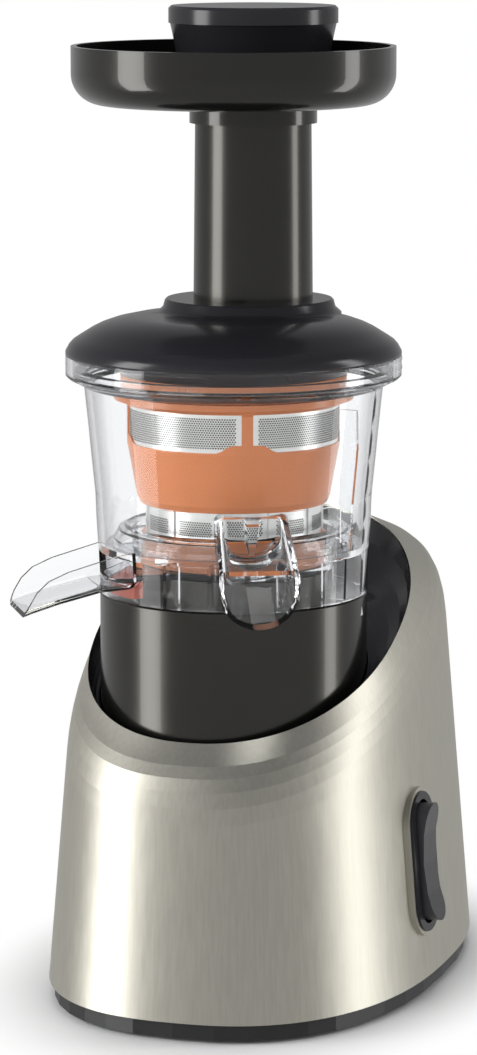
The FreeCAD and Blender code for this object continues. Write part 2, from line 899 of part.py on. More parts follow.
def bowl_seal():
    low = centre_tube_top - 6
    outline = [(centre_tube_bore, low), (centre_tube_bore, low + 6.0),
               (centre_tube_radius, low + 6.0), (centre_tube_radius, low + 7.2),
               (auger_boss_radius + 0.1, low + 7.2), (auger_boss_radius + 0.1, low)]
    return revolve(outline)


# Filter and auger

def filter_frame():
    upper = revolve([
        (filter_rim_radius, filter_flange_top), (filter_rim_radius, filter_rim_top),
        (filter_rim_radius - filter_wall, filter_rim_top),
        (filter_rim_radius - filter_wall, filter_flange_bottom),
        (basket_radius - filter_wall, filter_flange_bottom - 3),
        (basket_radius - filter_wall, window_bottom - 1.5),
        (band_top_radius - filter_wall, 248.0), (band_bottom_radius - filter_wall, band_bottom + 1),
        (lower_mesh_radius - mesh_thickness, lower_mesh_top), (lower_mesh_radius, lower_mesh_top),
        (band_bottom_radius - 1.2, lower_mesh_top + 0.6), (band_bottom_radius, band_bottom),
        (band_top_radius, 249.5), (basket_radius, window_bottom - 1.0),
        (basket_radius, filter_flange_bottom - 3), (filter_flange_radius - 2.5, filter_flange_bottom),
        (filter_flange_radius, filter_flange_bottom), (filter_flange_radius, filter_flange_top),
    ])
    foot = revolve([
        (lower_mesh_radius, lower_mesh_bottom), (foot_ring_radius - 0.8, lower_mesh_bottom),
        (foot_ring_radius, lower_mesh_bottom - 0.8), (foot_ring_radius, well_floor + 0.3),
        (foot_ring_radius - 2.5, well_floor + 0.3),
        (lower_mesh_radius - mesh_thickness, lower_mesh_bottom)])
    windows = []
    for i in range(window_count):
        windows.append(window_sector(basket_radius + 1, basket_radius - filter_wall - 1,
                                     window_angle, i, window_bottom, window_top))
    return [upper.cut(Part.makeCompound(windows)), foot]


def window_sector(outer, inner, sweep, index, low, high):
    """Part of a ring between two heights, centred between two posts."""
    sector = Part.makeCylinder(outer, high - low, V(0, 0, low), UP, sweep)
    sector = sector.cut(rod(inner, low - 1, high + 1))
    pitch = 360 / window_count
    start = -90 + spout_angle + pitch * (index + 0.5) - sweep / 2
    return turn(sector, start)


def upper_mesh():
    middle = basket_radius - filter_wall / 2
    return [window_sector(middle + mesh_thickness / 2, middle - mesh_thickness / 2,
                          window_angle, i, window_bottom, window_top)
            for i in range(window_count)]


def lower_mesh():
    sleeve = ring(lower_mesh_radius, lower_mesh_radius - mesh_thickness,
                  lower_mesh_bottom, lower_mesh_top)
    ribs = []
    for i in range(lower_rib_count):
        rib = block(lower_mesh_radius - 0.3, lower_mesh_radius + lower_rib_depth, -0.9, 0.9,
                    lower_mesh_bottom, lower_mesh_top)
        ribs.append(turn(rib, -90 + spout_angle + 360 / lower_rib_count * (i + 0.5)))
    return fused([sleeve] + ribs)


def auger_radius(z):
    share = (z - auger_bottom) / (auger_top - auger_bottom)
    return auger_core_bottom + (auger_core_top - auger_core_bottom) * share


def flight_radius(z):
    share = (z - auger_bottom) / (auger_top - auger_bottom)
    return auger_flight_bottom + (auger_flight_top - auger_flight_bottom) * share


def auger_flight():
    """Helical flight, thick at its root, between two skins."""
    steps = 72
    low = 213.0
    high = auger_top - auger_flight_thickness - 1
    lower = []
    upper = []
    for i in range(steps + 1):
        share = i / steps
        angle = 2 * math.pi * auger_turns * share
        z = low + (high - low) * share
        half = auger_flight_thickness / 2
        near = auger_radius(z) - 2.0
        far = flight_radius(z) - 0.4
        c, s = math.cos(angle), math.sin(angle)
        lower.append([V(near * c, near * s, z), V(far * c, far * s, z + half - 1)])
        upper.append([V(near * c, near * s, z + 2 * half), V(far * c, far * s, z + half + 1)])
    faces = []
    inner = [[a[0], b[0]] for a, b in zip(lower, upper)]
    outer = [[a[1], b[1]] for a, b in zip(lower, upper)]
    for strip in (lower, upper, inner, outer):
        first = Part.BSplineCurve()
        first.interpolate([pair[0] for pair in strip])
        second = Part.BSplineCurve()
        second.interpolate([pair[1] for pair in strip])
        faces.append(Part.makeRuledSurface(first.toShape(), second.toShape()))
    for end in (0, -1):
        corners = [lower[end][0], lower[end][1], upper[end][1], upper[end][0]]
        faces.append(Part.Face(Part.makePolygon(corners + corners[:1])))
    shell = Part.makeShell(faces)
    shell.sewShape(0.01)
    solid = Part.makeSolid(shell)
    if solid.Volume < 0:
        solid.reverse()
    return solid


def auger():
    core = revolve([
        (auger_boss_radius, auger_bottom), (auger_boss_radius, centre_tube_top + 2),
        (centre_tube_radius + 1.5, centre_tube_top + 2), (centre_tube_radius + 1.5, auger_bottom + 2),
        (flight_radius(auger_bottom) - 4, auger_bottom + 2),
        (flight_radius(auger_bottom) - 4, 212.0), (auger_core_bottom, 216.0),
        (auger_core_top, auger_top), (8.0, auger_top + 6), (auger_pin_radius + 2, auger_top + 8),
        (auger_pin_radius + 2, auger_shoulder), (auger_pin_radius, auger_shoulder),
        (auger_pin_radius, auger_pin_top), (0, auger_pin_top), (0, auger_bottom)])
    corner = (hex_across_flats + 0.2) / math.sqrt(3)
    corners = [(corner * math.cos(math.radians(a)), corner * math.sin(math.radians(a)))
               for a in range(0, 360, 60)]
    socket = prism(corners, auger_bottom - 1, hex_top + 2)
    return fused([core, auger_flight()]).cut(socket)


# Lid, tube, tray and pusher

def juicer_lid():
    dome = [(lid_radius, lid_bottom), (lid_radius, lid_bottom + 1.4)] + lid_dome + [(0, lid_top)]
    skirt_in = lid_skirt_radius - lid_wall
    under = [(0, lid_top - lid_wall)]
    under += [(radius - 0.8, height - lid_wall) for radius, height in lid_dome[:2:-2]]
    under += [(skirt_in, lid_dome[0][1]),
             (skirt_in, bowl_shelf + seal_height), (lid_skirt_radius, bowl_shelf + seal_height),
             (lid_skirt_radius, lid_bottom)]
    shell = revolve(dome + under)
    boss = revolve([(0, 300.0), (boss_radius + boss_flare, 300.0),
                    (boss_radius + boss_flare, 308.6), (boss_radius + 0.8, 311.0),
                    (boss_radius, boss_top - 0.8), (boss_radius - 0.8, boss_top), (0, boss_top)],
                   0, boss_centre_y)
    press = ring(filter_rim_radius, filter_rim_radius - 2.4, filter_rim_top + seat_gap, 306.5)
    body = shell.fuse(boss)
    body = body.cut(rod(tube_bore, 295, boss_top + 1, 0, tube_y))
    hub = rod(bush_radius + 2.0, auger_shoulder + seat_gap, 309.0)
    body = body.fuse(hub)
    press = press.cut(rod(tube_bore + 3, 280, 320, 0, tube_y))
    body = body.fuse(press)
    return body.cut(rod(bush_radius, 290, auger_pin_top + 1)).removeSplitter()


def lid_seal():
    return ring(lid_skirt_radius - 0.4, lid_skirt_radius - 5, bowl_shelf, bowl_shelf + seal_height)


def auger_bush():
    return ring(bush_radius, auger_pin_radius + running_gap,
                auger_shoulder + seat_gap, auger_pin_top)


def feed_tube():
    return revolve([(tube_bore, boss_top), (tube_radius_bottom, boss_top),
                    (tube_radius_top, tube_top), (tube_bore, tube_top)], 0, tube_y)


def hopper_tray():
    def dish(radius, top, low, fillet):
        k = fillet * (1 - math.sqrt(0.5))
        edges = [
            Part.LineSegment(V(0, 0, low), V(radius - fillet, 0, low)),
            Part.Arc(V(radius - fillet, 0, low), V(radius - k, 0, low + k),
                     V(radius, 0, low + fillet)),
            Part.LineSegment(V(radius, 0, low + fillet), V(radius, 0, top)),
            Part.LineSegment(V(radius, 0, top), V(0, 0, top)),
            Part.LineSegment(V(0, 0, top), V(0, 0, low)),
        ]
        wire = Part.Wire([edge.toShape() for edge in edges])
        return Part.Face(wire).revolve(V(0, 0, 0), UP, 360)

    body = dish(tray_radius, tray_top, tray_bottom, tray_round)
    body = body.cut(dish(tray_radius - tray_wall, tray_top + 5, tray_bottom + tray_wall,
                         tray_round - tray_wall))
    body = body.fuse(rod(collar_radius, collar_bottom, tray_bottom + 1, 0, tube_y))
    body = body.cut(rod(stem_radius + 1, collar_bottom - 1, tray_top, 0, tube_y))
    return body.cut(rod(tube_radius_top + seat_gap + 0.15, collar_bottom - 1, tube_top, 0, tube_y))


def pusher_head():
    floor = tray_bottom + tray_wall + seat_gap
    band_low = pusher_top - head_band
    return revolve([
        (0, pusher_top), (head_radius - 1.2, pusher_top), (head_radius, pusher_top - 1.2),
        (head_radius, band_low), (head_radius - 0.7, band_low), (head_cone_radius, head_cone_height),
        (head_skirt_radius, floor), (head_skirt_radius - head_wall, floor),
        (head_cone_radius - head_wall, head_cone_height),
        (head_cone_radius - head_wall, pusher_top - head_plate), (0, pusher_top - head_plate)], 0, tube_y)


def pusher_stem():
    top = pusher_top - head_plate
    return revolve([(0, stem_bottom), (stem_radius - 2, stem_bottom), (stem_radius, stem_bottom + 2),
                    (stem_radius, top), (stem_radius - stem_wall, top),
                    (stem_radius - stem_wall, stem_bottom + 3), (0, stem_bottom + 3)], 0, tube_y)


# Switch and electrics

def switch_bezel():
    outer = stadium(bezel_width, bezel_height, -8, bezel_proud)
    inner = stadium(rocker_width + 3, rocker_height + 3, -9, bezel_proud + 1)
    return on_switch(outer.cut(inner))


def rocker_outline():
    """Side view of the rocker in the switch frame: concave front, round back."""
    half = rocker_height / 2
    front = [(rocker_proud, half), (rocker_proud - 3.2, half * 0.5), (rocker_proud - 4.2, 0),
             (rocker_proud - 3.2, -half * 0.5), (rocker_proud, -half)]
    back = [(2.0, -half), (-4.5, -half * 0.45), (-4.5, half * 0.45), (2.0, half)]
    return front + back


def switch_rocker():
    outline = rocker_outline()
    points = [V(x, -rocker_width / 2, z) for x, z in outline]
    face = Part.Face(Part.makePolygon(points + points[:1]))
    rocker = face.extrude(V(0, rocker_width, 0))
    rocker = rocker.common(stadium(rocker_width, rocker_height, -20, 20))
    return on_switch(rocker.cut(rocker_axle(rocker_pin_radius + running_gap)))


def rocker_axle(radius):
    half = rocker_width / 2 + 1.5
    return Part.makeCylinder(radius, 2 * half, V(rocker_pivot, -half, 0), V(0, 1, 0))


def rocker_pin():
    return on_switch(rocker_axle(rocker_pin_radius))


def switch_body():
    shell = block(-26, -8, -13, 13, -24, 24)
    pocket = block(-14, -7, -rocker_width / 2 - 1, rocker_width / 2 + 1, -22, 22)
    tabs = [block(-33, -26, -0.4, 0.4, z - 3, z + 3) for z in (-14, 0, 14)]
    return on_switch(fused([shell.cut(pocket)] + tabs))


def cord_inlet():
    """Grommet of the cord's hole; the cord itself isn't part of the model."""
    share = shell_half_depth - shell_taper * inlet_z
    wall = shell_centre_y + share
    sleeve = Part.makeCylinder(inlet_radius - 0.1, 8, V(0, wall - 6.5, inlet_z), V(0, 1, 0))
    flange = Part.makeCylinder(inlet_radius + 2.5, 2, V(0, wall - 5.6, inlet_z), V(0, 1, 0))
    bore = Part.makeCylinder(cord_radius + 0.2, 30, V(0, wall - 15, inlet_z), V(0, 1, 0))
    return sleeve.fuse(flange).cut(bore)


def control_board():
    return block(-34, 34, 108, 109.6, cover_bottom + cover_thickness + 4, 66)


def board_posts():
    low = cover_bottom + cover_thickness
    return [block(x - 4, x + 4, 106, 112, low, low + 10).cut(
        block(x - 5, x + 5, 107.9, 109.7, low + 4, low + 11)) for x in (-28, 28)]


def board_parts():
    relay = block(-22, -6, 92, 108, 40, 54)
    capacitor = Part.makeCylinder(9, 34, V(16, 98.9, 20), UP)
    terminal = block(-26, 4, 97, 108, 16, 28)
    return [relay, capacitor, terminal]


def main():
    os.makedirs("parts", exist_ok=True)
    one, two, out = gear_parts()
    save("housing_shell", housing_shell())
    save("bowl_cradle", bowl_cradle())
    save("drive_drum", drive_drum())
    save("bottom_cover", bottom_cover())
    save("rubber_feet", *rubber_feet())
    save("motor_plate", motor_plate())
    save("plate_screws", *plate_screws())
    save("motor_stator", motor_stator())
    save("motor_windings", *motor_windings())
    save("motor_bell_lower", bell(stack_bottom, lower_disc()))
    save("motor_bell_upper", bell(stack_top(), upper_disc()))
    save("motor_rotor", motor_rotor())
    save("motor_shaft", motor_shaft())
    save("motor_bearings", *motor_bearings())
    save("motor_fan", motor_fan())
    save("motor_pinion", motor_pinion())
    save("layshaft_gear_1", one)
    save("layshaft_gear_2", two)
    save("output_gear", out)
    save("gear_axles", *gear_axles())
    save("gear_case", gear_case())
    save("gear_cover", gear_cover())
    save("output_bearings", *output_bearings())
    save("output_shaft", output_shaft())
    save("neck_seal", neck_seal())
    save("juice_bowl", juice_bowl())
    save("juice_spout", juice_spout())
    save("pulp_chute", pulp_chute())
    save("pulp_plug", pulp_plug())
    save("bowl_seal", bowl_seal())
    save("filter_frame", *filter_frame())
    save("upper_mesh", *upper_mesh())
    save("lower_mesh", lower_mesh())
    save("auger", auger())
    save("juicer_lid", juicer_lid())
    save("lid_seal", lid_seal())
    save("auger_bush", auger_bush())
    save("feed_tube", feed_tube())
    save("hopper_tray", hopper_tray())
    save("pusher_head", pusher_head())
    save("pusher_stem", pusher_stem())
    save("switch_bezel", switch_bezel())
    save("switch_rocker", switch_rocker())
    save("rocker_pin", rocker_pin())
    save("switch_body", switch_body())
    save("cord_inlet", cord_inlet())
    save("control_board", control_board())
    save("board_posts", *board_posts())
    save("board_parts", *board_parts())


main()
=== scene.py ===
import math
import bpy
import bmesh
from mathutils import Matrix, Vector


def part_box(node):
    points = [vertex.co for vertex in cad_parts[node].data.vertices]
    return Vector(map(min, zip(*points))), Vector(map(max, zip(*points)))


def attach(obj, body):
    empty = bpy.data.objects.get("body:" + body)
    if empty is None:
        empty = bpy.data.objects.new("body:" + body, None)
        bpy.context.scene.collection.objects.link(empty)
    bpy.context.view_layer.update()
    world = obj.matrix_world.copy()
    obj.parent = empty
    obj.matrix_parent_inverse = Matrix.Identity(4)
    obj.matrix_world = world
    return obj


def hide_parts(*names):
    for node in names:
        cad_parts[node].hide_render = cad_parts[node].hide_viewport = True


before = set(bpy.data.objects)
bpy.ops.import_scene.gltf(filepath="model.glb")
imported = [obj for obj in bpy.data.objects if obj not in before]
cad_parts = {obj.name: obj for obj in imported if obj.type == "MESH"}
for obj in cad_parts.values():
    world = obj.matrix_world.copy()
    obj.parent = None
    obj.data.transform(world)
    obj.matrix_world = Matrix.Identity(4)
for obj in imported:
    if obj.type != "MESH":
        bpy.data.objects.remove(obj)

bl_info = {
    "name": "Cold press juicer",
    "version": (1, 0, 0),
    "blender": (4, 5, 0),
    "location": "View3D > Sidebar > Juicer",
    "description": "Dresses the packed juicer: clear bowl, strainer, lid, tray, housing and studio",
    "category": "Object",
}


class JuicerFinish(bpy.types.PropertyGroup):
    """Colours of the outer finishes."""
    silver: bpy.props.FloatVectorProperty(
        name="Housing silver", description="Champagne silver of the housing",
        subtype="COLOR", size=3, min=0, max=1, default=(0.61, 0.592, 0.515))
    gunmetal: bpy.props.FloatVectorProperty(
        name="Gunmetal", description="Dark metallic paint of drum, tube and tray",
        subtype="COLOR", size=3, min=0, max=1, default=(0.056, 0.055, 0.049))
    black: bpy.props.FloatVectorProperty(
        name="Gloss black", description="Lid, pusher and cradle",
        subtype="COLOR", size=3, min=0, max=1, default=(0.006, 0.006, 0.007))
    orange: bpy.props.FloatVectorProperty(
        name="Strainer orange", description="Burnt orange of the strainer frame",
        subtype="COLOR", size=3, min=0, max=1, default=(0.70, 0.215, 0.06))
    clear: bpy.props.FloatVectorProperty(
        name="Clear plastic", description="Tint of bowl, spout and chute",
        subtype="COLOR", size=3, min=0, max=1, default=(0.965, 0.972, 0.98))


class JuicerSizes(bpy.types.PropertyGroup):
    """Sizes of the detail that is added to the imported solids."""
    hole_pitch: bpy.props.FloatProperty(
        name="Hole pitch", description="Distance between perforations of the strainer",
        unit="LENGTH", min=0.0006, max=0.003, default=0.00112)
    hole_radius: bpy.props.FloatProperty(
        name="Hole radius", description="Radius of one perforation",
        unit="LENGTH", min=0.0001, max=0.001, default=0.00041)
    camera_turn: bpy.props.FloatProperty(
        name="Camera turn", description="Camera's azimuth from the front towards the switch",
        unit="ROTATION", default=math.radians(18))


def finish():
    return bpy.context.scene.juicer_finish


def sizes():
    return bpy.context.scene.juicer_sizes


# Shared shader effects


def new_group(name, inputs, outputs):
    """A shader node group with float inputs and outputs, and its two end nodes."""
    group = bpy.data.node_groups.new(name, "ShaderNodeTree")
    for label, default in inputs:
        socket = group.interface.new_socket(label, in_out="INPUT", socket_type="NodeSocketFloat")
        socket.default_value = default
    for label, kind in outputs:
        group.interface.new_socket(label, in_out="OUTPUT", socket_type=kind)
    start = group.nodes.new("NodeGroupInput")
    end = group.nodes.new("NodeGroupOutput")
    return group, start, end


def brushed_group():
    """Fine grain drawn out along the height: value for roughness and height for bump."""
    group, start, end = new_group(
        "brushed_grain", [("Scale", 900.0), ("Stretch", 0.02), ("Depth", 0.5)],
        [("Value", "NodeSocketFloat"), ("Height", "NodeSocketFloat")])
    coords = group.nodes.new("ShaderNodeTexCoord")
    combine = group.nodes.new("ShaderNodeCombineXYZ")
    combine.inputs["X"].default_value = 1.0
    combine.inputs["Y"].default_value = 1.0
    group.links.new(start.outputs["Stretch"], combine.inputs["Z"])
    scaled = group.nodes.new("ShaderNodeVectorMath")
    scaled.operation = "MULTIPLY"
    group.links.new(coords.outputs["Object"], scaled.inputs[0])
    group.links.new(combine.outputs[0], scaled.inputs[1])
    noise = group.nodes.new("ShaderNodeTexNoise")
    noise.inputs["Detail"].default_value = 3.0
    group.links.new(scaled.outputs[0], noise.inputs["Vector"])
    group.links.new(start.outputs["Scale"], noise.inputs["Scale"])
    depth = group.nodes.new("ShaderNodeMath")
    depth.operation = "MULTIPLY"
    group.links.new(noise.outputs["Fac"], depth.inputs[0])
    group.links.new(start.outputs["Depth"], depth.inputs[1])
    group.links.new(noise.outputs["Fac"], end.inputs["Value"])
    group.links.new(depth.outputs[0], end.inputs["Height"])
    return group


def grain_group():
    """Even moulded or painted grain with slow patches: value and height."""
    group, start, end = new_group(
        "moulded_grain", [("Scale", 1500.0), ("Patch Scale", 18.0), ("Depth", 0.5)],
        [("Value", "NodeSocketFloat"), ("Height", "NodeSocketFloat")])
    coords = group.nodes.new("ShaderNodeTexCoord")
    fine = group.nodes.new("ShaderNodeTexNoise")
    fine.inputs["Detail"].default_value = 2.0
    slow = group.nodes.new("ShaderNodeTexNoise")
    slow.inputs["Detail"].default_value = 2.0
    for node, label in ((fine, "Scale"), (slow, "Patch Scale")):
        group.links.new(coords.outputs["Object"], node.inputs["Vector"])
        group.links.new(start.outputs[label], node.inputs["Scale"])
    depth = group.nodes.new("ShaderNodeMath")
    depth.operation = "MULTIPLY"
    group.links.new(fine.outputs["Fac"], depth.inputs[0])
    group.links.new(start.outputs["Depth"], depth.inputs[1])
    group.links.new(slow.outputs["Fac"], end.inputs["Value"])
    group.links.new(depth.outputs[0], end.inputs["Height"])
    return group


def shared_group(name):
    makers = {"brushed_grain": brushed_group, "moulded_grain": grain_group}
    return bpy.data.node_groups.get(name) or makers[name]()


def plain_material(name, color, roughness, metallic=0.0, coat=0.0, coat_roughness=0.05,
                   spread=0.04, tone=0.12, bump=0.03, group="moulded_grain", scale=1500.0,
                   stretch=None, ior=1.5, anisotropic=0.0, transmission=0.0, specular=0.5):
    """A Principled material whose tone, roughness and surface vary through a shared group."""
    made = bpy.data.materials.get(name)
    if made:
        return made
    made = bpy.data.materials.new(name)
    made.use_nodes = True
    nodes = made.node_tree.nodes
    links = made.node_tree.links
    shader = nodes["Principled BSDF"]
    shader.inputs["Metallic"].default_value = metallic
    shader.inputs["IOR"].default_value = ior
    shader.inputs["Coat Weight"].default_value = coat
    shader.inputs["Coat Roughness"].default_value = coat_roughness
    shader.inputs["Anisotropic"].default_value = anisotropic
    shader.inputs["Transmission Weight"].default_value = transmission
    shader.inputs["Specular IOR Level"].default_value = specular
    effect = nodes.new("ShaderNodeGroup")
    effect.node_tree = shared_group(group)
    effect.inputs["Scale"].default_value = scale
    if stretch is not None:
        effect.inputs["Stretch"].default_value = stretch
    rough = nodes.new("ShaderNodeMapRange")
    rough.inputs["To Min"].default_value = max(0.0, roughness - spread)
    rough.inputs["To Max"].default_value = roughness + spread
    links.new(effect.outputs["Value"], rough.inputs["Value"])
    links.new(rough.outputs["Result"], shader.inputs["Roughness"])
    ramp = nodes.new("ShaderNodeValToRGB")
    ramp.name = "tone"
    ramp.color_ramp.elements[0].position = 0.3
    ramp.color_ramp.elements[1].position = 0.7
    ramp.color_ramp.elements[0].color = [c * (1 - tone) for c in color] + [1]
    ramp.color_ramp.elements[1].color = [min(1.0, c * (1 + tone)) for c in color] + [1]
    links.new(effect.outputs["Value"], ramp.inputs["Fac"])
    links.new(ramp.outputs["Color"], shader.inputs["Base Color"])
    bumped = nodes.new("ShaderNodeBump")
    bumped.inputs["Strength"].default_value = bump
    bumped.inputs["Distance"].default_value = 0.0002
    links.new(effect.outputs["Height"], bumped.inputs["Height"])
    links.new(bumped.outputs["Normal"], shader.inputs["Normal"])
    return made


# Materials


def housing_silver():
    return plain_material("housing_silver", finish().silver, 0.40, metallic=1.0, spread=0.06,
                          tone=0.05, bump=0.10, group="brushed_grain", scale=700.0,
                          stretch=0.03, anisotropic=0.35)


def gunmetal_paint():
    return plain_material("gunmetal_paint", finish().gunmetal, 0.24, metallic=0.9, coat=0.25,
                          tone=0.06, bump=0.02, scale=2500.0)


def tray_gunmetal():
    return plain_material("tray_gunmetal", [c * 0.55 for c in finish().gunmetal], 0.25,
                          metallic=0.8, coat=0.6, tone=0.06, bump=0.02, scale=2500.0)


def gloss_black():
    return plain_material("gloss_black", finish().black, 0.10, tone=0.2, bump=0.01,
                          specular=0.32)


def rocker_black():
    return plain_material("rocker_black", (0.035, 0.035, 0.038), 0.34, tone=0.15, bump=0.06)


def clear_plastic():
    """Clear plastic with painted shade where it is seen edge on: its colour darkens towards a
    grazing view.
    """
    made = bpy.data.materials.get("clear_plastic")
    if made:
        return made
    made = plain_material("clear_plastic", finish().clear, 0.03, spread=0.015, tone=0.004,
                          bump=0.008, scale=60.0, ior=1.33, transmission=1.0)
    nodes = made.node_tree.nodes
    links = made.node_tree.links
    # Painted shade: the colour turns from clear to dark grey where the surface is seen edge on,
    # standing in for the dark edges that refraction and reflection give
    edge_shade_mask = nodes.new("ShaderNodeLayerWeight")
    edge_shade_mask.inputs["Blend"].default_value = 0.5
    # The tone ramp here carries this painted edge shade in place of random tone
    edge = nodes["tone"]
    edge.color_ramp.elements[0].position = 0.5
    edge.color_ramp.elements[0].color = list(finish().clear) + [1]
    edge.color_ramp.elements[1].position = 1.0
    edge.color_ramp.elements[1].color = (0.14, 0.13, 0.16, 1)
    links.new(edge_shade_mask.outputs["Facing"], edge.inputs["Fac"])
    return made


def strainer_orange():
    return plain_material("strainer_orange", finish().orange, 0.32, coat=0.15, tone=0.07,
                          bump=0.05)


def strainer_steel():
    return plain_material("strainer_steel", (0.72, 0.72, 0.70), 0.3, metallic=1.0, tone=0.05,
                          bump=0.05, group="brushed_grain", scale=1200.0, stretch=1.0)


def hole_shadow():
    return plain_material("hole_shadow", (0.012, 0.011, 0.010), 0.8, tone=0.2, bump=0.05)


def cover_black():
    return plain_material("cover_black", (0.018, 0.018, 0.019), 0.42, tone=0.15, bump=0.12,
                          scale=2200.0)


def rubber_black():
    return plain_material("rubber_black", (0.014, 0.014, 0.014), 0.7, tone=0.2, bump=0.2)


def soft_silicone():
    return plain_material("soft_silicone", (0.62, 0.62, 0.6), 0.5, tone=0.06, bump=0.1)


def red_silicone():
    return plain_material("red_silicone", (0.45, 0.045, 0.02), 0.45, tone=0.08, bump=0.1)


def machined_steel():
    return plain_material("machined_steel", (0.5, 0.5, 0.5), 0.28, metallic=1.0, tone=0.06,
                          bump=0.08, group="brushed_grain", scale=1500.0, stretch=6.0)


def stack_steel():
    return plain_material("stack_steel", (0.2, 0.2, 0.21), 0.45, metallic=1.0, tone=0.15,
                          bump=0.3, group="brushed_grain", scale=60.0, stretch=30.0)


def wound_copper():
    return plain_material("wound_copper", (0.62, 0.22, 0.07), 0.35, metallic=1.0, tone=0.15,
                          bump=0.5, group="brushed_grain", scale=250.0, stretch=5.0)


def gear_nylon():
    return plain_material("gear_nylon", (0.68, 0.66, 0.56), 0.42, tone=0.05, bump=0.06)


def auger_resin():
    return plain_material("auger_resin", (0.03, 0.026, 0.024), 0.38, tone=0.15, bump=0.06)


def sintered_bronze():
    return plain_material("sintered_bronze", (0.42, 0.25, 0.1), 0.4, metallic=1.0, tone=0.15,
                          bump=0.3)


def board_green():
    return plain_material("board_green", (0.02, 0.13, 0.05), 0.35, tone=0.2, bump=0.15,
                          scale=300.0)


NODE_FINISHES = {
    "housing_shell": housing_silver, "bowl_cradle": gloss_black, "drive_drum": gunmetal_paint,
    "bottom_cover": cover_black, "rubber_feet": rubber_black, "motor_plate": machined_steel,
    "plate_screws": machined_steel, "motor_stator": stack_steel,
    "motor_windings": wound_copper, "motor_bell_lower": machined_steel,
    "motor_bell_upper": machined_steel, "motor_rotor": stack_steel,
    "motor_shaft": machined_steel, "motor_bearings": machined_steel, "motor_fan": cover_black,
    "motor_pinion": machined_steel, "layshaft_gear_1": gear_nylon,
    "layshaft_gear_2": gear_nylon, "output_gear": gear_nylon, "gear_axles": machined_steel,
    "gear_case": cover_black, "gear_cover": cover_black, "output_bearings": machined_steel,
    "output_shaft": machined_steel, "neck_seal": rubber_black, "juice_bowl": clear_plastic,
    "juice_spout": clear_plastic, "pulp_chute": clear_plastic, "pulp_plug": red_silicone,
    "bowl_seal": soft_silicone, "filter_frame": strainer_orange, "upper_mesh": strainer_steel,
    "lower_mesh": strainer_steel, "auger": auger_resin, "juicer_lid": gloss_black,
    "lid_seal": clear_plastic, "auger_bush": sintered_bronze, "feed_tube": gunmetal_paint,
    "hopper_tray": tray_gunmetal, "pusher_head": gloss_black, "pusher_stem": gloss_black,
    "switch_bezel": gloss_black, "switch_rocker": rocker_black, "rocker_pin": machined_steel,
    "switch_body": cover_black, "cord_inlet": rubber_black, "control_board": board_green,
    "board_posts": cover_black, "board_parts": cover_black,
}


def settle(piece, body, *replaced):
    """Rides a finished piece on its body and lets it stand for CAD nodes."""
    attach(piece, body)
    if replaced:
        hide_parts(*replaced)
    return piece


def new_piece(name, bm, material, smooth_angle=35.0):
    """An object at the origin from a bmesh, smooth up to an angle."""
    bmesh.ops.remove_doubles(bm, verts=bm.verts, dist=1e-6)
    bmesh.ops.recalc_face_normals(bm, faces=bm.faces)
    mesh = bpy.data.meshes.new(name)
    bm.to_mesh(mesh)
    bm.free()
    piece = bpy.data.objects.new(name, mesh)
    bpy.context.scene.collection.objects.link(piece)
    mesh.materials.append(material)
    mesh.shade_smooth()
    mesh.set_sharp_from_angle(angle=math.radians(smooth_angle))
    return piece


# Perforated strainer panels by Geometry Nodes


PERFORATIONS = "perforations"
ROW_SHARE = 0.866  # height of a row of holes as a share of the pitch


